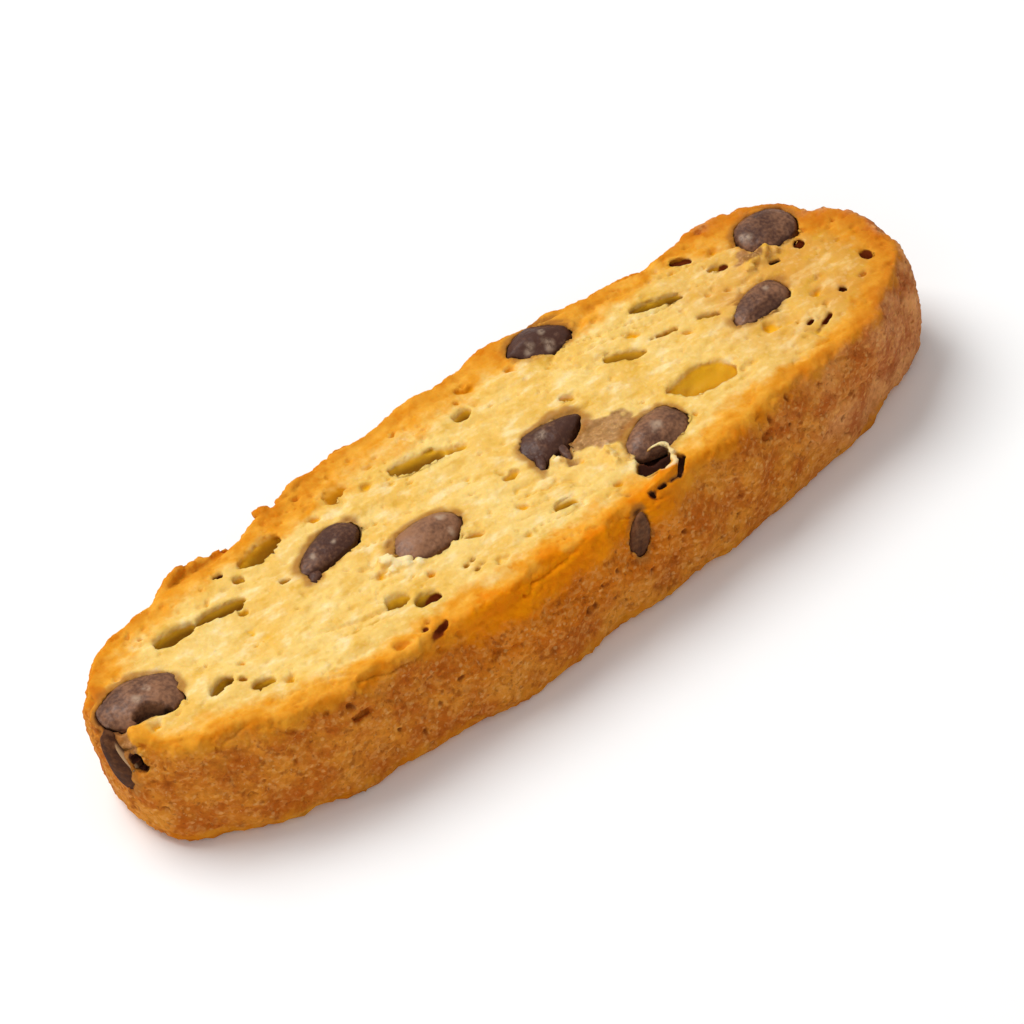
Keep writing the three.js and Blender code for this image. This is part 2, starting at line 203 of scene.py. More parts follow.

# The broken place by the chip near the edge: two cavities. Then the splits painted darkest inside as shade, and the
# others.
BROKEN_CAVITIES = [
    (11.4, -10.6, 4.8, 2.5, 0, 3.2),
    (13.4, -12.2, 1.6, 1.2, 40, 2.0),
]
STAINED_CRACKS = [
    (12.9, -13.0, 2.8, 0.6, 42, 2.3),
    (10.1, -13.7, 4.6, 0.6, 3, 2.2),
    (40.0, 3.1, 4.2, 0.62, -13, 1.3),
    (41.6, 4.6, 1.8, 0.6, 10, 1.0),
]
CRACKS = [
    (-28.0, -7.2, 7.6, 0.4, -14, 0.6),
    (-12.1, -8.2, 6.0, 0.5, 14, 1.0),
    (-11.4, -9.3, 5.0, 0.5, 16, 0.9),
    (-13.2, -7.1, 4.4, 0.45, 12, 0.7),
    (-9.6, -7.4, 4.0, 0.4, 14, 0.6),
    (25.0, 3.0, 5.6, 0.6, -11, 1.0),
    (20.6, 2.6, 2.8, 0.6, 0, 1.0),
    (33.0, 2.2, 4.0, 0.4, -18, 0.7),
    (-3.4, -7.4, 4.6, 0.4, -6, 0.6),
    (4.2, 5.2, 5.0, 0.4, -20, 0.6),
]
# The flake of crust that stands by the cavities: x, y, length, width, turn, how high it stands.
FLAKE = (10.5, -12.85, 4.8, 1.2, 12, 0.5)
# The curled thread over the first cavity, an arc of beads that get thinner: its middle, radius, first and last turn
# in degrees, rise, and the width of the oval that is coloured as it.
CURL = dict(
    x=12.1, y=-10.5, radius=1.45, start=-48, end=108, rise=0.45, across=4.4, count=18, thick=0.7, thinner=0.28
)

# Spots of the rim that browned more: x, y, z, size.
BAKED_SPOTS = [
    (-50.9, 4.6, 14.3, 1.7),
    (-35.9, 12.0, 14.0, 1.5),
    (17.4, 13.0, 14.0, 1.4),
    (47.0, 9.0, 14.0, 1.3),
]

# A loose crumb's width as a share of its size, degrees of turn for each millimetre of x, height as a share of its
# size, and how far it is lifted, as a share of its height.
CRUMB_FORM = (0.8, 50, 0.4)
CRUMB_LIFT = 0.1
# Where they stick by the chips: x, y, size. The first ones are pale.
PALE_CRUMBS = [
    (-18.2, -2.2, 1.5),
    (-17.5, -3.3, 1.1),
    (-16.6, -3.8, 1.3),
    (-18.4, -3.5, 0.8),
    (-19.3, -3.6, 0.7),
    (-15.6, -4.6, 0.8),
    (4.3, -3.0, 1.1),
    (9.3, -5.0, 1.1),
]
CRUMBS = [
    (4.7, -4.0, 0.9),
    (8.8, -6.3, 1.5),
    (8.4, -7.8, 1.3),
    (10.0, -6.2, 1.0),
    (38.7, 4.6, 1.9),
    (40.2, 4.8, 2.0),
    (41.6, 4.2, 1.4),
    (37.6, 3.9, 1.3),
    (39.4, 3.7, 1.2),
]
# Crags on the rim and the crust: degrees round the outline, height, length, width, turn, rise.
KNOBS = [
    (125.0, 13.6, 3.6, 2.2, 0, 0.4),
    (121.8, 13.4, 5.4, 2.2, 0, 0.45),
    (117.5, 13.2, 6.0, 2.2, 0, 0.35),
    (106.6, 14.0, 1.3, 1.1, 0, 0.6),
    (102.0, 13.6, 4.4, 1.6, 0, 0.35),
    (17, 12.9, 2.8, 2.4, 0, 0.5),
]

# Pits in the crust: degrees round the outline, height, length, width, turn, depth.
WALL_HOLES = [
    (-121.5, 11.0, 3.2, 1.6, 10, 0.9),
    (-108, 12.6, 1.3, 0.6, 0, 0.6),
    (-75, 11.6, 2.2, 1.3, 20, 0.8),
    (-169.4, 11.5, 2.6, 1.3, 80, 1.9),
    (140, 6.2, 2.8, 1.8, 35, 0.9),
    (84, 10.2, 2.6, 1.5, -15, 0.9),
]
WIDEST_BELOW = 0.3
UNDERCUT = 0.95
FAR_SLOPE = 0.22

# The pit that is painted dark inside as shade, and smears: on the crumb between two chips and by a third, and on the
# left end.
STAINED_PIT = 3
SMEARS = [(10.3, -3.5, 7.4, 4.0, -16), (38.7, 5.5, 4.6, 1.1, -12)]
CRUST_SMEAR = (-175.5, 13.5, 4.0, 2.6, 60)

# The crumb was stretched as the dough was shaped, so its grain runs at this angle, in degrees.
GRAIN_TURN = -15
# The size of the grains in the colours, and how far apart the pale freckles lie, which are painted glints.
GRAIN_SIZE = 0.46
FRECKLES_APART = 0.8
# The x at which the right end starts to brown and is brown, and how far those waver.
TOASTED = (18.0, 54.0)
TOASTED_WAVER = 14.0
EDGE_WAVER = 0.9
# The crust's skin is thin near this x. From none to full: by the way from there, by height, which leaves the lower
# wall darker as painted shade, and by y.
THIN_MIDDLE = -4.0
THIN_SKIN = ((22.0, 8.0), (4.0, 9.0), (4.0, -4.0))

# The mesh: points that measure the outline, subdivisions of the balls that features are made from, and the evened
# and thinned body. It is thinned fully below one height and by a share above it.
OUTLINE_SAMPLES = 20001
CUTTER_DETAIL, CRUMB_DETAIL, CHIP_DETAIL, UPPER_CHIP_DETAIL = 4, 3, 5, 6
VOXEL = 0.23
MOST_TRIANGLES = 197000
THIN_BELOW = 0.4 * THICKNESS
THIN_ABOVE = 0.3
THIN_FACTOR = 4.0
# Anything of the body with fewer corners than this is a speck.
LEAST_ISLAND = 100
# Stands for no chip near.
FAR = 9.0


# ---- repeatable noise

def lattice(cells, seed):
    """A repeatable number from 0 to 1 for each whole-number cell."""
    mixed = cells[..., 0] * 73856093 ^ cells[..., 1] * 19349663 ^ cells[..., 2] * 83492791
    mixed = (mixed ^ (seed + 1) * 2654435761) & 0xFFFFFFFF
    for _ in range(2):
        mixed = ((mixed ^ (mixed >> 16)) * 0x45D9F3B) & 0xFFFFFFFF
    return (mixed ^ (mixed >> 16)) / 2.0**32


def dice(cells, seed):
    """Three such numbers for each cell."""
    return np.stack([lattice(cells, seed + k) for k in range(3)], axis=1)


def gridded(points, size, stretch):
    """The points measured in cells, and the cell that holds each."""
    scaled = points / (size * np.array(stretch))
    return scaled, np.floor(scaled).astype(np.int64)


def cells_round(cell):
    """Each cell and its 26 neighbours, one after another."""
    return (cell + np.array(step) - 1 for step in np.ndindex(3, 3, 3))


def noise(points, size, seed=0, stretch=(1, 1, 1)):
    """Smooth noise from -1 to 1 whose lumps are about size wide, times stretch."""
    scaled, cell = gridded(points, size, stretch)
    part = scaled - cell
    ease = part * part * part * (part * (part * 6 - 15) + 10)
    total = 0.0
    for corner in np.ndindex(2, 2, 2):
        weight = np.prod(np.where(corner, ease, 1 - ease), axis=1)
        total = total + weight * lattice(cell + np.array(corner), seed)
    return 2 * total - 1


def bubbles(points, size, seed, share, stretch, least, most):
    """Pits scattered one to a cell, in a share of the cells: 0 outside a pit and 1 at its middle."""
    scaled, cell = gridded(points, size, stretch)
    deepest = np.zeros(len(points))
    for near in cells_round(cell):
        centre = near + 0.2 + 0.6 * dice(near, seed)
        radius = least + (most - least) * lattice(near, seed + 3)
        away = np.linalg.norm(scaled - centre, axis=1) / radius
        there = lattice(near, seed + 4) < share
        deepest = np.maximum(deepest, np.where(there, 1 - away, 0))
    return deepest


def pebbles(points, size, seed, stretch=(1, 1, 1)):
    """Rounded lumps that fill the surface: 0 on top of a lump, rising to about 0.7 in the creases."""
    scaled, cell = gridded(points, size, stretch)
    squares = (np.sum((scaled - near - dice(near, seed)) ** 2, axis=1) for near in cells_round(cell))
    return np.min(list(squares), axis=0)


def warped(points, size, amount, seed):
    """The points moved about by noise, which makes what is drawn on them ragged."""
    return points + amount * np.stack([noise(points, size, seed + k) for k in range(3)], axis=1)


def creases(points, size, seed, stretch, width):
    """Thin winding lines: 1 in the middle of a line and 0 outside."""
    return np.clip(1 - np.abs(noise(points, size, seed, stretch)) / width, 0, 1)


def ramp(value, low, high):
    """0 at low, 1 at high, and a smooth change between. High may be the smaller."""
    part = np.clip((value - low) / (high - low), 0, 1)
    return part * part * (3 - 2 * part)


# ---- the slice's outline and wall

def quarter(x, y):
    """Half-length, half-width and squareness of the quarter of the outline that holds each point."""
    a = np.where(x < 0, HALF_LENGTH["left"], HALF_LENGTH["right"])
    b = np.where(y < 0, HALF_WIDTH["near"], HALF_WIDTH["far"])
    near = np.where(x < 0, SQUARENESS["near_left"], SQUARENESS["near_right"])
    far = np.where(x < 0, SQUARENESS["far_left"], SQUARENESS["far_right"])
    return a, b, np.where(y < 0, near, far)


def signed_power(value, power):
    return np.sign(value) * np.abs(value) ** power


def outline_point(angle):
    c, s = np.cos(angle), np.sin(angle)
    a, b, n = quarter(c, s)
    return a * signed_power(c, 2 / n), b * signed_power(s, 2 / n)


def outwards(x, y):
    """Outward direction in plan, near enough for small offsets."""
    u = x / sum(HALF_LENGTH.values()) ** 2
    v = y / sum(HALF_WIDTH.values()) ** 2
    size = np.hypot(u, v) + 1e-12
    return u / size, v / size


def bulge(x, y, z):
    """How far the baked wall stands out from the plain outline at a point on or near it."""
    a, b, n = quarter(x, y)
    angle = np.arctan2(signed_power(y / b, n / 2), signed_power(x / a, n / 2))
    from_middle = 2 * z / THICKNESS - 1
    out = SWELL * (1 - from_middle**2)
    for waves, height, phase in OUTLINE_WAVES:
        out = out + height * np.sin(waves * angle + phase)
    for around, up, reach, rise in WALL_LUMPS:
        cx, cy = outline_point(np.radians(around))
        apart = (x - cx) ** 2 + (y - cy) ** 2 + (z - up) ** 2
        out = out + rise * np.exp(-apart / reach**2)
    for height, along, across, up, phase in CRAGS:
        out = out + height * np.sin(along * x + across * y + up * z + phase)
    return out


def bake(x, y, z):
    """Moves points of the plain slab's wall to the baked slice's."""
    from_middle = 2 * z / THICKNESS - 1
    out = bulge(x, y, z)
    u, v = outwards(x, y)
    return x + out * u + SLANT[0] / 2 * from_middle, y + out * v + SLANT[1] / 2 * from_middle, z


def inwards(points):
    """About how far each point lies inside the baked wall, in plan, as if it had no rounded shoulders."""
    from_middle = 2 * points[:, 2] / THICKNESS - 1
    x = points[:, 0] - SLANT[0] / 2 * from_middle
    y = points[:, 1] - SLANT[1] / 2 * from_middle
    a, b, n = quarter(x, y)
    p, q = np.abs(x) / a + 1e-9, np.abs(y) / b + 1e-9
    level = (p**n + q**n) ** (1 / n)
    slope = level ** (1 - n) * np.hypot(p ** (n - 1) / a, q ** (n - 1) / b)
    return (1 - level) / slope + bulge(x, y, points[:, 2])


def from_edge(points):
    """The way over the surface from the cut edge: above 0 on a cut face, below 0 down the crust."""
    inside = inwards(points)
    down = np.minimum(THICKNESS - points[:, 2], points[:, 2])
    return inside - np.clip(down, 0, None) * (1 - ramp(inside, 0.7, 1.5))


# ---- mesh helpers

def new_object(name, data):
    made = bpy.data.objects.new(name, data)
    bpy.context.scene.collection.objects.link(made)
    return made


def to_mesh(bm, mesh):
    """Writes the bmesh to the mesh and closes it."""
    bm.to_mesh(mesh)
    bm.free()
    return mesh


def coordinates(mesh):
    flat = np.empty(3 * len(mesh.vertices), np.float32)
    mesh.vertices.foreach_get("co", flat)
    return flat.reshape(-1, 3).astype(float)


def set_coordinates(mesh, points):
    mesh.vertices.foreach_set("co", points.astype(np.float32).ravel())
    mesh.update()


def normals(mesh):
    flat = np.empty(3 * len(mesh.vertices), np.float32)
    mesh.vertex_normals.foreach_get("vector", flat)
    return flat.reshape(-1, 3).astype(float)


def apply_modifiers(made):
    """Replaces the object's mesh by the one its modifiers give."""
    result = bpy.data.meshes.new_from_object(made.evaluated_get(bpy.context.evaluated_depsgraph_get()))
    old = made.data
    made.modifiers.clear()
    made.data = result
    bpy.data.meshes.remove(old)


def write_attributes(mesh, **looks):
    for name, values in looks.items():
        layer = mesh.attributes.new(name, "FLOAT", "POINT")
        layer.data.foreach_set("value", values.astype(np.float32))


# ---- chips, sockets and holes

class Place:
    """Where a feature lies: its point on the surface, the way it faces, its turn, its size and a chip's look."""

    def __init__(self, at, facing, long, wide, turn, depth=0.0, **look):
        at, facing = (Vector([float(c) for c in v]) for v in (at, facing))
        down = Quaternion((0, 1, 0, 0))
        aim = down if facing.z < -0.99 else Vector((0, 0, 1)).rotation_difference(facing)
        spin = Quaternion((0, 0, 1), math.radians(turn))
        self.at = np.array(at)
        self.rotation = np.array((aim @ spin).to_matrix())
        self.in_wall = abs(facing.z) < 0.5
        self.long, self.wide, self.depth = long, wide, depth
        vars(self).update(CHIP_LOOK | look)

    def outside(self, local):
        return local @ self.rotation.T + self.at

    def inside(self, points):
        return (points - self.at) @ self.rotation


def on_upper(x, y, *size, **look):
    return Place((x, y, THICKNESS), (0, 0, 1), *size, **look)


def on_wall(around, up, *size, **look):
    x, y = outline_point(np.radians(around))
    return Place(bake(x, y, np.float64(up)), (*outwards(x, y), 0), *size, **look)


def on_lower(count, reach, swing, long, wide, turn, depth=0.0):
    """Places in even steps along the lower face that swing from side to side and vary in size."""
    made = []
    for i in range(count):
        wave = math.sin(swing[1] * (i + 1))
        at = (reach * ((i + 0.5) / count - 0.5), swing[0] * wave - SLANT[1] / 2, 0)
        length = long[0] + long[1] * math.cos(long[2] * i)
        width = wide[0] + wide[1] * wave
        bloom = LOWER_BLOOM[0] + LOWER_BLOOM[1] * math.sin(LOWER_BLOOM[2] * i)
        turned = turn[0] * math.cos(turn[1] * i)
        made.append(Place(at, (0, 0, -1), length, width, turned, depth, bloom=bloom))
    return made


def blobs(name, places, shape, detail):
    """One object with a ball for each place, each ball shaped and moved there."""
    bm = bmesh.new()
    for _ in places:
        bmesh.ops.create_icosphere(bm, subdivisions=detail, radius=1)
    mesh = to_mesh(bm, bpy.data.meshes.new(name))
    points = coordinates(mesh)
    each = len(points) // len(places)
    for number, place in enumerate(places):
        part = slice(number * each, (number + 1) * each)
        points[part] = place.outside(shape(points[part], place, number))
    set_coordinates(mesh, points)
    return new_object(name, mesh)


def chip_half(place):
    """Half-sizes of the whole chip, whose widest part lies below the face, and how far below."""
    height = min(CHIP_HEIGHT, CHIP_ROUNDNESS * place.wide)
    below = height / 2 - CHIP_PROUD * height / CHIP_HEIGHT
    shown = math.sqrt(1 - (below / (height / 2)) ** 2)
    return np.array([place.long / 2 / shown, place.wide / 2 / shown, height / 2]), below


def chip_lumps(unit, place, number):
    """The chip's plain lumpy form on the unit ball, which its socket shares."""
    offset = unit + np.array([7.3 * number, place.long, place.wide])
    local = signed_power(unit, np.array([place.corner, place.corner, 0.94]))
    local[:, 1] *= 1 - place.taper * local[:, 0]
    return local * (1 + 0.11 * noise(offset, 0.95, 11))[:, None], offset


def chip_shape(unit, place, number):
    """A chip: a lumpy pebble, a little shrunk, against one side of its socket, with any part broken off."""
    half, below = chip_half(place)
    local, offset = chip_lumps(unit, place, number)
    local *= 1 + (0.035 * noise(offset, 0.45, 12) + 0.012 * noise(offset, 0.2, 13))[:, None]
    along, across, reach, depth = place.broken
    if depth:
        away = np.hypot(local[:, 0] - along, local[:, 1] - across) + 0.12 * noise(offset, 0.3, 14)
        sunk = depth * ramp(away, reach, 0.7 * reach) * np.sqrt(np.clip(unit[:, 2], 0, 1))
    local *= half - (WALL_CHIP_SHRUNK if place.in_wall else CHIP_SHRUNK)
    if depth:
        local[:, 2] -= sunk
    if place.in_wall:
        local[:, 2] = np.where(local[:, 2] > below, below + WALL_CHIP_DOME * (local[:, 2] - below), local[:, 2])
    else:
        local += np.array(CHIP_SHIFT) * min(1, place.wide / 4)
    return local - np.array([0, 0, below])


def socket_shape(unit, place, number):
    """The socket that a chip sits in: a little larger than the chip, torn along its rim, with a gap at one side."""
    half, below = chip_half(place)
    local, _ = chip_lumps(unit, place, number)
    torn = 0.05 * noise(unit + number, 0.3, 21) + 0.04 * noise(unit, 0.13, 22)
    torn += 0.13 * noise(unit + 2 * number, 0.33, 23) * ramp(unit[:, 1], 0.1, -0.4)
    local *= (1 + torn)[:, None] * (half + SOCKET_SLACK)
    if not place.in_wall:
        local[:, 1] -= place.gap * ramp(unit[:, 1], 0.0, -0.5)
    return local - np.array([0, 0, below])


def hole_shape(unit, place, number):
    """A bubble cut across above its widest part. It runs in under its near rim and slopes at its far one."""
    offset = unit + 5.1 * number + place.long
    uneven = 1 + 0.16 * noise(offset, 0.8, 31) + 0.12 * noise(offset, 0.35, 32) + 0.07 * noise(offset, 0.16, 33)
    half = np.array([place.long / 2, place.wide / 2, (1 - WIDEST_BELOW) * place.depth])
    local = signed_power(unit, np.array([0.8, 1.0, 1.0])) * uneven[:, None] * half
    local[:, 2] -= WIDEST_BELOW * place.depth
    local[:, 1] += UNDERCUT * local[:, 2] * min(1, place.wide / 2)
    local[:, 1] += FAR_SLOPE * place.wide * ramp(unit[:, 1], 0, 1) * ramp(unit[:, 2], -0.6, 0.6)
    return local


def winding(along):
    """How far a split strays to the side, by the way along it."""
    return 0.35 * noise(np.stack([along, 0 * along, 0 * along], axis=1), 2.4, 34)


def crack_shape(unit, place, number):
    """A thin winding split that closes towards its ends."""
    local = unit * np.array([place.long / 2, place.wide / 2, place.depth])
    local[:, 1:] *= (1 + 0.2 * noise(unit * 3, 0.5, 35))[:, None]
    local[:, 1] += winding(local[:, 0])
    return local


def crumb_shape(unit, place, number):
    lumps = 1 + 0.4 * noise(unit + 3 * number, 0.8, 36) + 0.3 * noise(unit + number, 0.4, 37)
    return signed_power(unit, 0.8) * lumps[:, None] * np.array([place.long / 2, place.wide / 2, place.depth])


def lobe(place, along, across, share):
    """One of the bubbles that make up a hole."""
    made = copy(place)
    made.at = place.outside(np.array([along * place.long / 2, across * place.wide / 2, 0]))
    made.long = place.long * share * (1 - abs(along))
    made.wide = place.wide * share
    made.depth = place.depth * share
    return made


upper_chips = [on_upper(*c[:5], **c[5]) for c in UPPER_CHIPS]
chip_bits = [on_upper(*c[:5], **c[5]) for c in CHIP_BITS]
lower_chips = on_lower(**LOWER_CHIPS)
wall_chips = [on_wall(*c[:5], **c[5]) for c in WALL_CHIPS]
all_chips = upper_chips + chip_bits + lower_chips + wall_chips
holes = [on_upper(*h) for h in UPPER_HOLES] + on_lower(**LOWER_HOLES, depth=LOWER_HOLE_DEPTH)
burnt_holes = [on_upper(*h) for h in BURNT_HOLES]
pits_in_crust = [on_wall(*h) for h in WALL_HOLES]
cavities = [on_upper(*h) for h in BROKEN_CAVITIES]
stained_cracks = [on_upper(*c) for c in STAINED_CRACKS]
cracks = [on_upper(*c) for c in CRACKS]
smears = [on_upper(*s) for s in SMEARS] + [on_wall(*CRUST_SMEAR)]


# ---- the biscuit's body

def wall_levels():
    """Height and inset of each ring from the lower face to the upper."""
    quarter_turn = [math.pi / 2 * i / SHOULDER_STEPS for i in range(SHOULDER_STEPS + 1)]
    foot = [(SHOULDER_DOWN * (1 - math.cos(t)), SHOULDER_IN * (1 - math.sin(t))) for t in quarter_turn]
    straight = THICKNESS - 2 * SHOULDER_DOWN
    wall = [(SHOULDER_DOWN + straight * i / WALL_STEPS, 0.0) for i in range(1, WALL_STEPS)]
    head = [(THICKNESS - height, inset) for height, inset in reversed(foot)]
    return foot + wall + head


def slab():
    """A disc extruded up ring by ring, then moved onto the baked outline."""
    levels = wall_levels()
    bm = bmesh.new()
    bmesh.ops.create_circle(bm, cap_ends=True, segments=RING_STEPS, radius=1)
    top = bm.faces[:]
    for number in range(1, len(levels)):
        out = bmesh.ops.extrude_face_region(bm, geom=top)["geom"]
        if number > 1:
            bmesh.ops.delete(bm, geom=top, context="FACES_ONLY")
        top = [g for g in out if isinstance(g, bmesh.types.BMFace)]
        bmesh.ops.translate(bm, vec=(0, 0, 1), verts=[g for g in out if isinstance(g, bmesh.types.BMVert)])
    bmesh.ops.recalc_face_normals(bm, faces=bm.faces)
    mesh = to_mesh(bm, bpy.data.meshes.new("slab"))
    unit = coordinates(mesh)
    level = np.rint(unit[:, 2]).astype(int)
    turns = np.mod(np.arctan2(unit[:, 1], unit[:, 0]) / (2 * math.pi), 1)
    fine = np.linspace(0, 2 * math.pi, OUTLINE_SAMPLES)
    fx, fy = outline_point(fine)
    run = np.concatenate([[0], np.cumsum(np.hypot(np.diff(fx), np.diff(fy)))])
    x, y = outline_point(np.interp(turns * run[-1], run, fine))
    height = np.array([l[0] for l in levels])[level]
    inset = np.array([l[1] for l in levels])[level]
    u, v = outwards(x, y)
    set_coordinates(mesh, np.stack(bake(x - inset * u, y - inset * v, height), axis=1))
    return new_object("biscuit_body", mesh)


def curl_places():
    """A row of beads along the arc of the curled thread, which rises and sinks again."""
    made = []
    for share in np.linspace(0, 1, CURL["count"]):
        turn = math.radians(CURL["start"] + share * (CURL["end"] - CURL["start"]))
        x = CURL["x"] + CURL["radius"] * math.cos(turn)
        y = CURL["y"] + CURL["radius"] * math.sin(turn)
        size = CURL["thick"] - CURL["thinner"] * share
        place = on_upper(x, y, size, size, 0, size / 2)
        place.at[2] += CURL["rise"] * math.sin(math.pi * share)
        made.append(place)
    return made


def raised(x, y, long, wide, turn, high):
    """A place on the upper face for a crumb, which lies a little proud of it."""
    place = on_upper(x, y, long, wide, turn, high)
    place.at[2] += CRUMB_LIFT * high
    return place


def carve(body):
    """Cuts the sockets, holes and cracks, adds the flake and the crumbs, and evens the mesh out."""
    groups = [(socket_shape, upper_chips + lower_chips + wall_chips), (socket_shape, chip_bits)]
    groups += [(hole_shape, [lobe(hole, *bubble) for hole in holes]) for bubble in HOLE_LOBES]
    groups += [(hole_shape, group) for group in (pits_in_crust, *([c] for c in cavities), burnt_holes)]
    groups += [(crack_shape, [crack]) for crack in stained_cracks + cracks]
    for shape, places in groups:
        cutter = blobs("cutter", places, shape, CUTTER_DETAIL)
        cut = body.modifiers.new("cut", "BOOLEAN")
        cut.operation = "DIFFERENCE"
        cut.solver = "MANIFOLD"
        cut.object = cutter
        apply_modifiers(body)
        bpy.data.objects.remove(cutter)
    wide, turn, high = CRUMB_FORM
    crumbs = [raised(x, y, size, wide * size, turn * x, high * size) for x, y, size in PALE_CRUMBS + CRUMBS]
    knobs = [on_wall(*k) for k in KNOBS]
    added = blobs("crumbs", crumbs + knobs + [raised(*FLAKE)] + curl_places(), crumb_shape, CRUMB_DETAIL)
    bm = bmesh.new()
    bm.from_mesh(body.data)
    bm.from_mesh(added.data)
    to_mesh(bm, body.data)
    bpy.data.objects.remove(added)
    even = body.modifiers.new("even", "REMESH")
    even.mode = "VOXEL"
    even.voxel_size = VOXEL
    apply_modifiers(body)


def along_grain(points):
    """The points turned so that the crumb's grain runs along the first axis."""
    turn = math.radians(GRAIN_TURN)
    x = points[:, 0] * math.cos(turn) + points[:, 1] * math.sin(turn)
    y = points[:, 1] * math.cos(turn) - points[:, 0] * math.sin(turn)
    return np.stack([x, y, points[:, 2]], axis=1)


def crumb_pores(points):
    """Small torn bubbles of two sizes: 0 outside, 1 at the deepest."""
    grain = warped(along_grain(points), 0.9, 0.38, 81)
    large = bubbles(grain, 1.9, 46, 0.3, (2.0, 1, 1), 0.14, 0.36)
    small = bubbles(grain, 0.9, 41, 0.6, (1.5, 1, 1), 0.2, 0.5)
    return large, small


def crumb_tears(points):
    """Long thin grooves along the grain, in patches."""
    grain = along_grain(points)
    return ramp(noise(points, 9, 54), -0.1, 0.4) * creases(grain, 1.5, 55, (7, 1, 1), 0.13)


def crumb_relief(points):
    """How far the crumb lies below the smooth form."""
    grain = along_grain(points)
    large, small = crumb_pores(points)
    depth = 0.2 * noise(points, 5.5, 53) + 0.24 * noise(grain, 2.2, 52, (2.2, 1, 1))
    depth += 0.27 * pebbles(grain, 1.4, 56, (1.6, 1, 1)) + 0.03 * noise(points, 0.5, 51)
    return depth + 0.9 * large + 0.42 * small + 0.34 * crumb_tears(points) - 0.1


def crust_pits(points):
    """Small deep pits where bubbles burst in the crust: 0 outside, 1 at the deepest."""
    return bubbles(warped(points, 1.2, 0.3, 84), 2.4, 66, 0.9, (1, 1, 1), 0.1, 0.29) ** 0.6


def crust_relief(points):
    """How far the crust lies below the smooth form: pebbled, wrinkled along the loaf and pitted."""
    ragged = warped(points, 1.2, 0.3, 84)
    depth = 0.2 * noise(points, 3.4, 63) + 0.34 * pebbles(points, 0.75, 67) + 0.1 * noise(points, 0.42, 61)
    # The top of the wall broke into small ledges.
    depth += 0.28 * np.tanh(5 * noise(points, 4.2, 68, (1, 1, 2))) * ramp(points[:, 2], 6, 12)
    depth += 0.6 * crust_pits(points)
    wrinkled = ramp(noise(points, 7, 64), -0.2, 0.4)
    return depth + 0.34 * wrinkled * creases(ragged, 2.4, 65, (2.6, 2.6, 1), 0.14) - 0.05


def skin_of(points):
    """1 on the crust, 0 on the crumb."""
    uneven = 0.3 * noise(points, 1.8, 71) + 0.15 * noise(points, 0.6, 72)
    return 1 - ramp(from_edge(points) + uneven, -0.2, 1.0)


def roughen(body):
    mesh = body.data
    points = coordinates(mesh)
    skin = skin_of(points)
    depth = skin * crust_relief(points) + (1 - skin) * crumb_relief(points)
    # Holes have smooth walls, where the bubble was, and sockets have the chip's.
    away, height = nearest_chip(points)
    depth *= 1 - 0.92 * hole_depth(points)
    depth *= 1 - 0.8 * ramp(away, 0.5, 0.0) * ramp(height, 0.0, -0.5)
    depth *= 1 - 0.8 * in_splits(points, stained_cracks + cracks, 0.7)
    points = points - normals(mesh) * depth[:, None]
    points[:, 2] = np.maximum(points[:, 2], 0)
    set_coordinates(mesh, points)


def thin_out(body):
    """Brings the triangle count under the limit, mostly from the underside."""
    mesh = body.data
    mesh.calc_loop_triangles()
    group = body.vertex_groups.new(name="thin")
    low = coordinates(mesh)[:, 2] < THIN_BELOW
    for chosen, weight in ((low, 1.0), (~low, THIN_ABOVE)):
        group.add(np.nonzero(chosen)[0].tolist(), weight, "REPLACE")
    thin = body.modifiers.new("thin", "DECIMATE")
    thin.ratio = min(1, MOST_TRIANGLES / len(mesh.loop_triangles))
    thin.vertex_group = "thin"
    thin.vertex_group_factor = THIN_FACTOR
    thin.use_collapse_triangulate = True
    apply_modifiers(body)
    body.vertex_groups.clear()


def drop_specks(body):
    """Deletes the specks of mesh that hang free of the biscuit."""
    bm = bmesh.new()
    bm.from_mesh(body.data)
    left = set(bm.verts)
    specks = []
    while left:
        joined = [left.pop()]
        for vert in joined:
            beside = {edge.other_vert(vert) for edge in vert.link_edges} & left
            left -= beside
            joined.extend(beside)
        if len(joined) < LEAST_ISLAND:
            specks += joined
    bmesh.ops.delete(bm, geom=specks, context="VERTS")
    to_mesh(bm, body.data)


def strongest(marks):
    """The highest of several marks at each point."""
    return np.max(list(marks), axis=0)


def oval_distance(points, place, more=0.0):
    """Millimetres from an oval round a place, in its own plane, below 0 inside; and the height above its face."""
    local = place.inside(points)
    long, wide = place.long + more, place.wide + more
    share = np.hypot(local[:, 0] / (long / 2), local[:, 1] / (wide / 2))
    return (share - 1) * min(long, wide) / 2, local[:, 2]


def nearest_chip(points):
    """Millimetres outside the nearest chip's oval, and the height above its face."""
    least = np.full(len(points), FAR)
    above = np.zeros(len(points))
    for place in all_chips:
        away, height = oval_distance(points, place)
        away = np.where(np.abs(height) < CHIP_DEPTH, away, FAR)
        above = np.where(away < least, height, above)
        least = np.minimum(least, away)
    return least, above


def sunk_below(points):
    """Millimetres below the smooth upper face, its shoulder and the wall; 0 on them."""
    inside = inwards(points)
    part = 1 - np.clip(inside / SHOULDER_IN, 0, 1)
    top = THICKNESS - SHOULDER_DOWN * (1 - np.sqrt(1 - part**2))
    return np.clip(np.minimum(top - points[:, 2], inside), 0, None)


def hole_depth(points, shallow=0.05, deep=0.7):
    """0 on the surface and 1 deep inside a hole."""
    below = np.minimum(points[:, 2], THICKNESS - points[:, 2]) * ramp(inwards(points), 1.2, 2.0)
    return ramp(below, shallow, deep)


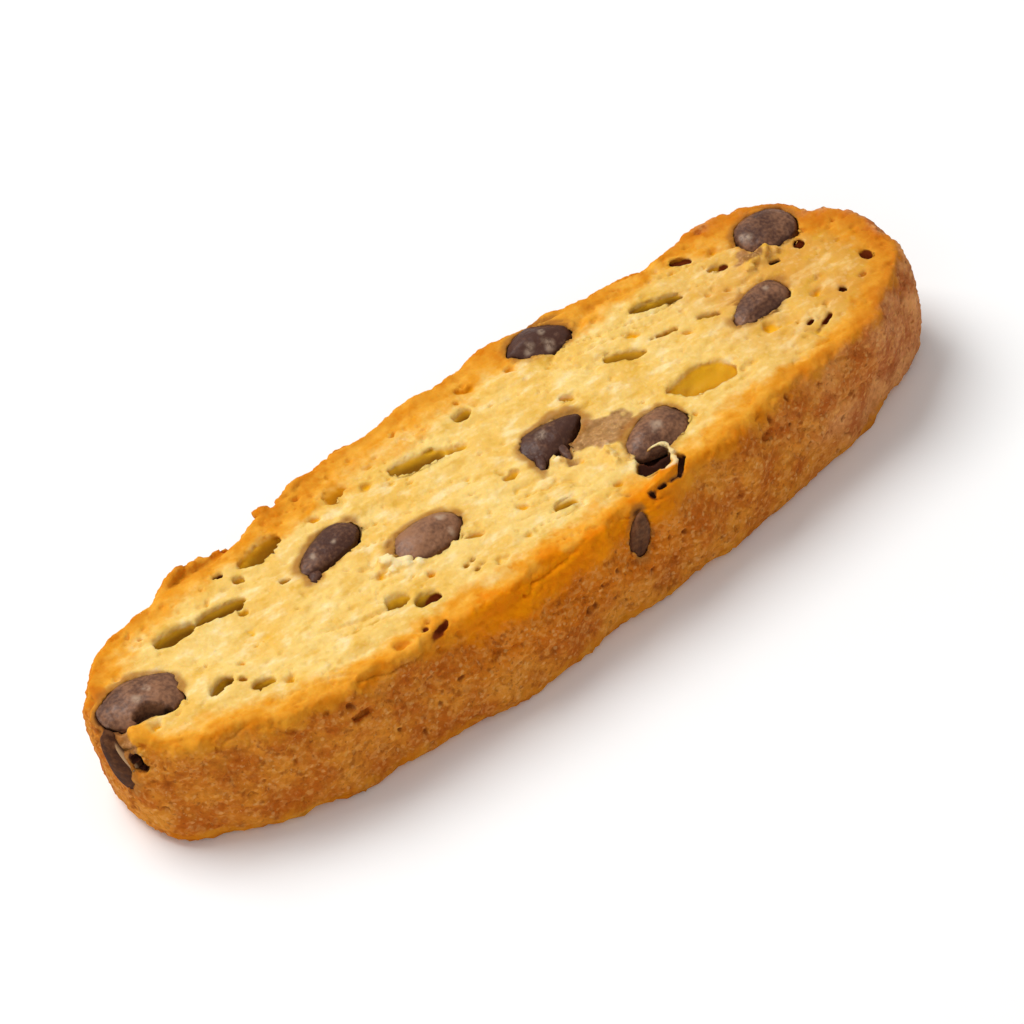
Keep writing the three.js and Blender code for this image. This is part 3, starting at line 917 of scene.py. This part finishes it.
def gloom_at(points):
    """Painted shade in a hole: darker in a narrow one and lower down."""
    marks = []
    for place in holes:
        away, height = oval_distance(points, place, 1)
        narrow = 1 - 0.75 * float(ramp(place.wide, 1.9, 3.4))
        marks.append(narrow * (1 - ramp(away, 0, 1.5)) * ramp(height, -0.2, -1.1) * (height > -HOLE_REACH))
    return strongest(marks)


def within(points, places, reach, from_depth, to_depth):
    """1 near the places' ovals and below the surface, 0 elsewhere."""
    ovals = (oval_distance(points, place) for place in places)
    return strongest((1 - ramp(a, 0, reach)) * ramp(h, -from_depth, -to_depth) * (h > -HOLE_REACH) for a, h in ovals)


def in_splits(points, places, reach):
    """1 in and by the places' splits, 0 elsewhere."""
    marks = []
    for place in places:
        local = place.inside(points)
        across = local[:, 1] - winding(local[:, 0])
        away = (np.hypot(local[:, 0] / (place.long / 2), across / (place.wide / 2)) - 1) * place.wide / 2
        marks.append((1 - ramp(away, 0.05, reach)) * (np.abs(local[:, 2]) < 3))
    return strongest(marks)


def stain_at(points):
    """How strongly melted chocolate has browned the biscuit at each point, from 0 to 1, together with painted shade
    in the cavities, the dark splits, a pit in the crust and the gaps round the chips.
    """
    ragged = warped(points, 0.9, 0.3, 87)
    marks = [
        # Painted shade inside the cavities, the dark splits and the dark pit.
        within(ragged, cavities, 0.9, 0.3, 0.8),
        in_splits(points, stained_cracks, 0.35) * ramp(sunk_below(points), 0.2, 0.45),
        within(points, [pits_in_crust[STAINED_PIT]], 0.3, 0.2, 0.5),
    ]
    for place in all_chips:
        local = place.inside(ragged)
        # Chips in the cut faces slid a little as the loaf was cut, and left a halo on one side.
        slid, reach, most = (0, 0.3, 0.35) if place.in_wall else (0.3, 0.95, 0.6)
        share = np.hypot(local[:, 0] / (place.long / 2), (local[:, 1] - slid) / (place.wide / 2))
        away = (share - 1) * place.wide / 2
        halo = most * (1 - ramp(away, -0.2, reach))
        # Below the face, right by the chip, the darkening is painted shade in the gap round it.
        sunk = (1 - ramp(away, 0, 0.8)) * ramp(local[:, 2], -0.25, -0.8)
        marks.append(np.maximum(halo, sunk) * (np.abs(local[:, 2]) < CHIP_DEPTH))
    return strongest(marks) * (1 - ramp(points[:, 2], THICKNESS + 0.1, THICKNESS + 0.35))


def smear_at(points):
    """1 where chocolate is smeared over the biscuit."""
    ragged = warped(points, 1.1, 0.8, 90)
    ovals = (oval_distance(ragged, place) for place in smears)
    return strongest((1 - ramp(away, -0.2, 0.3)) * (np.abs(height) < 2.5) for away, height in ovals)


def baked_at(points):
    """Marks the spots of the rim that browned more."""
    ragged = warped(points, 1.1, 0.6, 91)
    ways = ((np.linalg.norm(ragged - place, axis=1), size) for *place, size in BAKED_SPOTS)
    return 0.8 * strongest(ramp(away, size, 0.2 * size) for away, size in ways)


def at_spots(points, spots, outer, inner):
    """1 at the spots, seen from above, and 0 further off than outer times their size."""
    ways = ((np.hypot(*(points[:, :2] - place).T), size) for *place, size in spots)
    return strongest(ramp(away, outer * size, inner * size) for away, size in ways)


def write_looks(body):
    """What the material needs to know of each point."""
    mesh = body.data
    points = coordinates(mesh)
    edge = from_edge(points)
    # The slice's far side baked deeper in.
    edge = np.where(edge > 0, edge * (1 - 0.38 * ramp(points[:, 1], -4, 8)), edge)
    flake, _ = oval_distance(points, on_upper(*FLAKE))
    curl, _ = oval_distance(points, on_upper(CURL["x"], CURL["y"], CURL["across"], CURL["across"], 0))
    golden = (1 - ramp(flake, 0.1, 0.5)) * ramp(points[:, 2], THICKNESS - 0.3, THICKNESS)
    proud = ramp(points[:, 2], THICKNESS, THICKNESS + 0.2)
    raised_curl = (1 - ramp(curl, 0, 0.3)) * proud
    edge = edge - (0.9 * golden + 0.4 * raised_curl) * ramp(edge, 0, 2)
    large, small = crumb_pores(points)
    skin = skin_of(points)
    # The splits get painted shade inside them, as the holes do.
    torn = in_splits(points, cracks, 0.3) * ramp(sunk_below(points), 0.05, 0.4)
    away, _ = nearest_chip(points)
    write_attributes(
        mesh,
        edge=edge,
        pore=np.clip(0.9 * large + 0.45 * small + 0.5 * crumb_tears(points), 0, 1) * (1 - skin),
        # Painted shade in the pits of the crust, and spots of the rim that really browned more.
        pit=np.maximum(crust_pits(points) * skin, baked_at(points)),
        hole=hole_depth(points, 0.2, 0.65) * ramp(away, 0.3, 1.0),
        gloom=np.maximum(gloom_at(points), 0.55 * torn),
        # Painted shade inside the pinholes and small pits.
        burnt=within(points, burnt_holes, 0.35, 0.05, 0.45),
        loose=np.maximum(at_spots(points, PALE_CRUMBS, 0.6, 0.4) * proud, 0.8 * raised_curl),
        stain=stain_at(points),
        smear=smear_at(points),
    )


body = slab()
carve(body)
roughen(body)
thin_out(body)
drop_specks(body)
write_looks(body)


def thread_at(points):
    """1 on the thread of crumb that lies across the second wall chip."""
    place = wall_chips[1]
    half = np.array([place.long / 2, place.wide / 2])
    first, last = (np.array(end) * half for end in THREAD)
    local = place.inside(warped(points, 1.2, 0.13, 92))
    way = last - first
    share = np.clip((local[:, :2] - first) @ way / (way @ way), 0, 1)
    away = np.linalg.norm(local[:, :2] - first - share[:, None] * way, axis=1)
    return ramp(away, 0.42, 0.16) * ramp(local[:, 2], -0.5, -0.2) * (local[:, 2] < 2)


def hollow_at(points):
    """1 in the hollow where a part of a chip broke off, which is painted near-black as shade."""
    marks = []
    for place in upper_chips:
        along, across, reach, depth = place.broken
        if depth:
            half, _ = chip_half(place)
            local = place.inside(points)
            away = np.hypot(local[:, 0] / half[0] - along, local[:, 1] / half[1] - across)
            near = (1 - ramp(away, 0.8 * reach, 1.15 * reach)) * (np.abs(local[:, 2]) < 3)
            marks.append(near * ramp(local[:, 2], 0.5, -0.3))
    return strongest(marks)


def chips(name, places, detail):
    """The chocolate chips, flat where they reach the lower face."""
    made = blobs(name, places, chip_shape, detail)
    mesh = made.data
    points = coordinates(mesh)
    thread = thread_at(points)
    points += THREAD_RISE * thread[:, None] * wall_chips[1].rotation[:, 2]
    points[:, 2] = np.maximum(points[:, 2], CHIP_CLEARANCE)
    set_coordinates(mesh, points)
    # Spots of dusty bloom and of painted highlight.
    spots = at_spots(warped(points, 0.8, 0.25, 93), BLOOM_SPOTS, 0.75, 0.1)
    each = len(points) // len(places)
    write_attributes(
        mesh,
        bloom=np.repeat([p.bloom for p in places], each),
        spot=spots * (points[:, 2] > THICKNESS / 2),
        hollow=hollow_at(points),
        thread=thread,
        crusted=np.repeat([float(p.in_wall) for p in places], each),
    )
    return made


upper = chips("chips_upper", upper_chips, UPPER_CHIP_DETAIL)
others = chips("chips_lower_and_side", lower_chips + wall_chips + chip_bits, CHIP_DETAIL)


# ---- materials

def colour(text):
    """An sRGB hex colour as linear red, green, blue and alpha."""
    values = [int(text[i : i + 2], 16) / 255 for i in (0, 2, 4)]
    return tuple(v / 12.92 if v <= 0.04045 else ((v + 0.055) / 1.055) ** 2.4 for v in values) + (1.0,)


def add(tree, kind, inputs, output=0, **settings):
    """Adds a node with its settings and links, and gives one of its outputs. A text among the inputs is a colour."""
    node = tree.nodes.new("ShaderNode" + kind)
    for key, value in settings.items():
        setattr(node, key, value)
    for key, value in inputs.items():
        if isinstance(value, bpy.types.NodeSocket):
            tree.links.new(value, node.inputs[key])
        else:
            node.inputs[key].default_value = colour(value) if isinstance(value, str) else value
    return node.outputs[output] if node.outputs else None


def new_material(name, looks, noises):
    """A material, its nodes, the place in millimetres, and its masks: the mesh's attributes, and noises, each by size
    in millimetres, detail and roughness."""
    material = bpy.data.materials.new(name)
    material.use_nodes = True
    tree = material.node_tree
    tree.nodes.clear()
    place = add(tree, "Mapping", {"Vector": add(tree, "TexCoord", {}, "Object"), "Scale": (1 / MM,) * 3})
    at = {look: add(tree, "Attribute", {}, "Fac", attribute_name=look) for look in looks}
    for mask, (size, detail, rough) in noises.items():
        inputs = {"Vector": place, "Scale": 1 / size, "Detail": detail, "Roughness": rough}
        at[mask] = add(tree, "TexNoise", inputs)
    return material, tree, place, at


def painted(tree, at, base, layers):
    """The base with layers over it. A layer is a mask, its values where the layer is none and full, the strength and
    the colour."""
    for mask, none, full, strength, over in layers:
        amount = add(tree, "MapRange", {0: at[mask], 1: none, 2: full, 4: strength}, **SMOOTH)
        base = add(tree, "Mix", {0: amount, 6: base, 7: over}, 2, **COLOURS)
    return base


SMOOTH = dict(interpolation_type="SMOOTHSTEP")
COLOURS = dict(data_type="RGBA")


def crumb_and_crust():
    """Twice-baked dough. It is dry, so it is matt. Its cut crumb is pale and airy, and the outside browned."""
    looks = ("edge", "pore", "pit", "hole", "gloom", "burnt", "loose", "stain", "smear")
    material, tree, place, at = new_material("baked_crumb_and_crust", looks, {
        "broad": (7.0, 3, 0.5),
        "ragged": (2.6, 3, 0.6),
        "uneven_rim": (3.0, 3, 0.6),
        "patches": (4.5, 4, 0.6),
        "pale_spots": (1.0, 3, 0.7),
        "dark_spots": (1.3, 2, 0.6),
        "flecks": (0.6, 2, 0.6),
        "lumps": (0.9, 2, 0.5),
        "grit": (0.4, 2, 0.6),
    })
    paint = partial(painted, tree, at)
    along, across, high = (add(tree, "SeparateXYZ", {0: place}, axis) for axis in "XYZ")
    turned = {"Vector": place, "Rotation": (0, 0, -math.radians(GRAIN_TURN)), "Scale": (0.5, 1, 1)}
    mottle = {"Vector": add(tree, "Mapping", turned), "Scale": 1 / 1.6, "Detail": 3, "Roughness": 0.55}
    at["mottle"] = add(tree, "TexNoise", mottle)
    grains = {"Vector": place, "Scale": 1 / GRAIN_SIZE, "Smoothness": 0.7}
    grains = add(tree, "TexVoronoi", grains, "Color", feature="SMOOTH_F1")
    at["grains"] = add(tree, "SeparateColor", {0: grains})
    # Small pale freckles: painted glints on the crust's grains.
    cells = {"Vector": place, "Scale": 1 / FRECKLES_APART}
    middle = add(tree, "TexVoronoi", cells, "Distance")
    middle = add(tree, "MapRange", {0: middle, 1: 0.5, 2: 0.1}, **SMOOTH)
    chosen = add(tree, "SeparateColor", {0: add(tree, "TexVoronoi", cells, "Color")})
    at["freckles"] = add(tree, "Math", {0: middle, 1: chosen}, operation="MULTIPLY")

    # The right end baked more.
    wave = add(tree, "MapRange", {0: at["broad"], 3: -TOASTED_WAVER, 4: TOASTED_WAVER}, **SMOOTH)
    wave = add(tree, "Math", {0: along, 1: wave}, operation="ADD")
    at["toasted"] = add(tree, "MapRange", {0: wave, 1: TOASTED[0], 2: TOASTED[1]}, **SMOOTH)
    # The skin is thin and golden over the middle of the near side. It fades out down the wall, so the lower wall is
    # painted darker, as shade.
    aside = add(tree, "Math", {0: along, 1: THIN_MIDDLE}, operation="SUBTRACT")
    aside = add(tree, "Math", {0: aside}, operation="ABSOLUTE")
    thin = 1.0
    for way, (none, full) in zip((aside, high, across), THIN_SKIN):
        part = add(tree, "MapRange", {0: way, 1: none, 2: full}, **SMOOTH)
        thin = add(tree, "Math", {0: thin, 1: part}, operation="MULTIPLY")
    at["thin"] = thin
    # The change from crumb to crust wavers.
    waver = add(tree, "MapRange", {0: at["ragged"], 1: 0.3, 2: 0.7, 3: -EDGE_WAVER, 4: EDGE_WAVER}, **SMOOTH)
    outside = add(tree, "Math", {0: at["edge"], 1: waver}, operation="ADD")
    outside = add(tree, "Math", {0: at["toasted"], 1: -1.1, 2: outside}, operation="MULTIPLY_ADD")
    bare = add(tree, "Math", {0: thin, 1: 2.2, 2: outside}, operation="MULTIPLY_ADD")
    at["outside"] = outside
    at["crusty"] = add(tree, "MapRange", {0: bare, 1: 0.5, 2: -3.0}, **SMOOTH)

    crumb = paint("E9BA5B", [
        ("broad", 0.35, 0.65, 1.0, "EFCA76"),
        ("toasted", 0.0, 1.0, 1.0, "D6963A"),
        ("mottle", 0.5, 0.72, 0.6, paint("FBE6B0", [("toasted", 0.0, 1.0, 1.0, "EFC47A")])),
        ("mottle", 0.48, 0.27, 0.6, "D8A22E"),
        ("grains", 0.4, 0.1, 0.1, "C98E22"),
        ("grains", 0.6, 0.9, 0.12, "FFEBB4"),
        # Painted shade in the pores and tears: a darker yellow.
        ("pore", 0.1, 0.8, 0.65, "CC9424"),
        # Painted light bounced about inside the holes: a deeper, stronger yellow.
        ("hole", 0.0, 0.9, 0.92, "EAAC12"),
    ])
    amber = paint("E0901A", [
        ("mottle", 0.3, 0.7, 1.0, "EDAC3E"),
        ("toasted", 0.0, 1.0, 0.75, paint("CC7C14", [("mottle", 0.3, 0.7, 1.0, "E0962C")])),
        # Painted light bounced about inside the holes.
        ("hole", 0.0, 0.9, 1.0, "D68A0A"),
    ])
    rim = paint("CE7608", [
        ("uneven_rim", 0.35, 0.65, 1.0, "DC9226"),
        ("thin", 0.0, 1.0, 0.95, paint("DE7800", [("mottle", 0.3, 0.7, 1.0, "EC8C00")])),
        ("toasted", 0.0, 1.0, 0.55, "C87018"),
    ])
    cut = paint(crumb, [
        ("outside", 4.0, 1.6, 1.0, amber),
        ("outside", 2.2, -0.2, 1.0, rim),
        # Painted shade deep in the holes and splits.
        ("gloom", 0.0, 1.0, 0.9, "85530A"),
        # Spots of the rim that browned more, and painted shade in the crust's pits.
        ("pit", 0.1, 0.8, 0.7, "BC6410"),
    ])
    crust = paint("B85E14", [
        ("patches", 0.35, 0.66, 1.0, "D8882A"),
        ("toasted", 0.0, 1.0, 1.0, paint("B46434", [("patches", 0.35, 0.66, 1.0, "DE975E")])),
        ("thin", 0.0, 1.0, 0.65, "CE6E08"),
        ("pale_spots", 0.5, 0.72, 0.25, "E2A45A"),
        ("dark_spots", 0.44, 0.26, 0.65, "8A420E"),
        ("grains", 0.5, 0.95, 0.26, "EDB262"),
        ("grains", 0.5, 0.05, 0.26, "8C440F"),
        ("flecks", 0.62, 0.74, 0.3, "ECBC7C"),
        ("flecks", 0.4, 0.28, 0.5, "7E3C0E"),
        # Painted glints.
        ("freckles", 0.2, 0.9, 0.42, "E8B26C"),
        # Painted shade in the crust's pits.
        ("pit", 0.1, 0.8, 0.85, "6E300A"),
    ])
    smear = paint("7A4E2E", [
        ("mottle", 0.3, 0.7, 1.0, "B88458"),
        ("flecks", 0.5, 0.7, 0.5, "D2A06C"),
        ("flecks", 0.5, 0.3, 0.5, "6E4426"),
    ])
    whole = paint(cut, [
        ("crusty", 0.0, 1.0, 1.0, crust),
        ("loose", 0.0, 1.0, 0.75, "F7E2AE"),
        ("smear", 0.0, 1.0, 0.85, smear),
        # Painted shade inside the pinholes and small pits.
        ("burnt", 0.0, 0.8, 1.0, "6E2A08"),
        # Chocolate stains, and painted shade in the gaps round the chips, the cavities, the dark splits and a pit.
        ("stain", 0.0, 0.5, 0.8, "A0662A"),
        ("stain", 0.5, 1.0, 1.0, "3E2016"),
    ])

    # The bump fades in the holes, whose walls were bubbles, and is finest on the crust.
    open_crumb = add(tree, "Math", {0: 1.0, 1: at["hole"]}, operation="SUBTRACT")
    lumps = add(tree, "Math", {0: at["lumps"], 1: open_crumb}, operation="MULTIPLY")
    gritty = add(tree, "MapRange", {0: at["crusty"], 3: 0.15}, **SMOOTH)
    grit = add(tree, "Math", {0: at["grit"], 1: gritty}, operation="MULTIPLY")
    normal = add(tree, "Bump", {"Height": lumps, "Distance": 0.16 * MM, "Strength": 1.0})
    normal = add(tree, "Bump", {"Height": grit, "Distance": 0.15 * MM, "Strength": 1.0, "Normal": normal})
    shader = add(tree, "BsdfPrincipled", {
        "Base Color": whole,
        "Roughness": 0.8,
        "Normal": normal,
        "Specular IOR Level": 0.06,
        "Subsurface Weight": 0.25,
        "Subsurface Radius": (1.0, 0.6, 0.2),
        "Subsurface Scale": 0.9 * MM,
    })
    add(tree, "OutputMaterial", {0: shader})
    return material


def chocolate():
    """Dark chocolate, cut and baked. It is satin, and its fat came up in a dull grey-brown bloom."""
    looks = ("bloom", "spot", "crusted", "hollow", "thread")
    noises = {"broad": (3.2, 3, 0.55), "fine": (0.7, 3, 0.6), "finest": (0.4, 2, 0.5)}
    material, tree, _, at = new_material("dark_chocolate_with_bloom", looks, noises)
    paint = partial(painted, tree, at)
    bloomed = at["bloom"]
    for mask, low, high, change in (("broad", 0.3, 0.7, 0.22), ("finest", 0.25, 0.75, 0.14)):
        speckle = add(tree, "MapRange", {0: at[mask], 1: low, 2: high, 3: -change, 4: change}, **SMOOTH)
        bloomed = add(tree, "Math", {0: bloomed, 1: speckle}, operation="ADD")
    at["bloomed"] = bloomed
    # Light spots on the chips: partly dusty bloom, partly painted highlights.
    dusty = add(tree, "MapRange", {0: at["fine"], 1: 0.3, 2: 0.6, 3: 0.1, 4: 0.55}, **SMOOTH)
    dusty = add(tree, "Math", {0: dusty, 1: at["spot"]}, operation="MULTIPLY")
    base = paint("4A2B1F", [
        ("bloomed", 0.0, 0.95, 1.0, "97694A"),
        ("fine", 0.56, 0.76, 0.22, "A87F62"),
        ("fine", 0.43, 0.27, 0.3, "321B12"),
    ])
    base = add(tree, "Mix", {0: dusty, 6: base, 7: "C4AA90"}, 2, **COLOURS)
    base = paint(base, [
        ("crusted", 0.0, 1.0, 0.5, paint("3C2210", [("fine", 0.35, 0.65, 1.0, "6E4526")])),
        # Painted shade in the hollow of the broken chip.
        ("hollow", 0.0, 1.0, 0.9, "150B07"),
        ("thread", 0.0, 1.0, 0.9, "C09A70"),
    ])
    normal = add(tree, "Bump", {"Height": at["broad"], "Distance": 0.3 * MM, "Strength": 1.0})
    normal = add(tree, "Bump", {"Height": at["fine"], "Distance": 0.1 * MM, "Strength": 1.0, "Normal": normal})
    rough = add(tree, "MapRange", {0: at["fine"], 1: 0.3, 2: 0.7, 3: 0.36, 4: 0.58}, **SMOOTH)
    # The oven dulled the chips that break through the crust.
    shader = add(tree, "BsdfPrincipled", {
        "Base Color": base,
        "Roughness": add(tree, "Math", {0: at["crusted"], 1: 0.2, 2: rough}, operation="MULTIPLY_ADD"),
        "Normal": normal,
        "Specular IOR Level": add(tree, "MapRange", {0: at["crusted"], 3: 0.28, 4: 0.06}),
        "Subsurface Weight": 0.05,
        "Subsurface Radius": (0.6, 0.3, 0.2),
        "Subsurface Scale": 0.6 * MM,
    })
    add(tree, "OutputMaterial", {0: shader})
    return material


def matt_card():
    """White card, which takes soft shadows and gives no reflections."""
    material, tree, _, at = new_material("matt_white_card", (), {"tone": (40, 2, 0.5)})
    tone = add(tree, "Mix", {0: at["tone"], 6: "F6F6F6", 7: "FAFAF9"}, 2, **COLOURS)
    shader = add(tree, "BsdfPrincipled", {"Base Color": tone, "Roughness": 0.7, "Specular IOR Level": 0.2})
    add(tree, "OutputMaterial", {0: shader})
    return material


def finish_piece(made, material):
    """Smooth shading, metres, the seat, the material, and the piece's place in the frame."""
    mesh = made.data
    mesh.name = made.name
    mesh.transform(Matrix.Scale(MM, 4) @ Matrix.Translation((*SEAT, 0)))
    mesh.polygons.foreach_set("use_smooth", [True] * len(mesh.polygons))
    mesh.materials.clear()
    mesh.materials.append(material)
    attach(made, "root")
    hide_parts("biscuit")


body.name = "biscuit_baked"
finish_piece(body, crumb_and_crust())
dark = chocolate()
finish_piece(upper, dark)
finish_piece(others, dark)


# ---- floor, light and camera

# In metres and watts: the floor's half-width, the light from all round, and each lamp's direction, distance, width
# and power. Then the way the camera looks: a turn round the slice, a height above it and a roll, in degrees.
FLOOR_REACH = 3
SKY = 0.4
LAMPS = {"key": ((-0.25, 0.55, 1.0), 0.9, 0.55, 7.1), "fill": ((-0.9, -0.9, 0.7), 1.2, 1.0, 2.5)}
CAMERA_TURN = -35.5
CAMERA_HEIGHT = 45.5
CAMERA_ROLL = -6.6
CAMERA_DISTANCE = 0.7
CAMERA_LENS = 233.4
AIM = Vector((SEAT[0] * MM, SEAT[1] * MM, THICKNESS / 2 * MM))

bm = bmesh.new()
bmesh.ops.create_grid(bm, x_segments=8, y_segments=8, size=FLOOR_REACH)
floor = new_object("floor", to_mesh(bm, bpy.data.meshes.new("floor")))
floor.data.materials.append(matt_card())

turn, rise, roll = (math.radians(v) for v in (CAMERA_TURN, CAMERA_HEIGHT, CAMERA_ROLL))
back = Vector((math.sin(turn) * math.cos(rise), -math.cos(turn) * math.cos(rise), math.sin(rise)))
level = Vector((math.cos(turn), math.sin(turn), 0))
right = math.cos(roll) * level + math.sin(roll) * back.cross(level)
axes = Matrix((right, back.cross(right), back)).transposed().to_4x4()
camera = new_object("camera", bpy.data.cameras.new("camera"))
camera.data.sensor_width = 36
camera.data.lens = CAMERA_LENS
camera.data.clip_start = 0.01
camera.matrix_world = Matrix.Translation(AIM + CAMERA_DISTANCE * back) @ axes
bpy.context.scene.camera = camera


def softbox(name, direction, distance, size, watts):
    """A square area light that faces the slice."""
    light = bpy.data.lights.new(name, "AREA")
    light.size = size
    light.energy = watts
    made = new_object(name, light)
    way = Vector(direction).normalized()
    made.location = AIM + distance * way
    made.rotation_mode = "QUATERNION"
    made.rotation_quaternion = way.to_track_quat("Z", "Y")


for name, lamp in LAMPS.items():
    softbox(name, *lamp)

world = bpy.data.worlds.new("studio")
world.use_nodes = True
for key, value in (("Color", (1, 1, 1, 1)), ("Strength", SKY)):
    world.node_tree.nodes["Background"].inputs[key].default_value = value
bpy.context.scene.world = world
bpy.context.scene.view_settings.view_transform = "Standard"
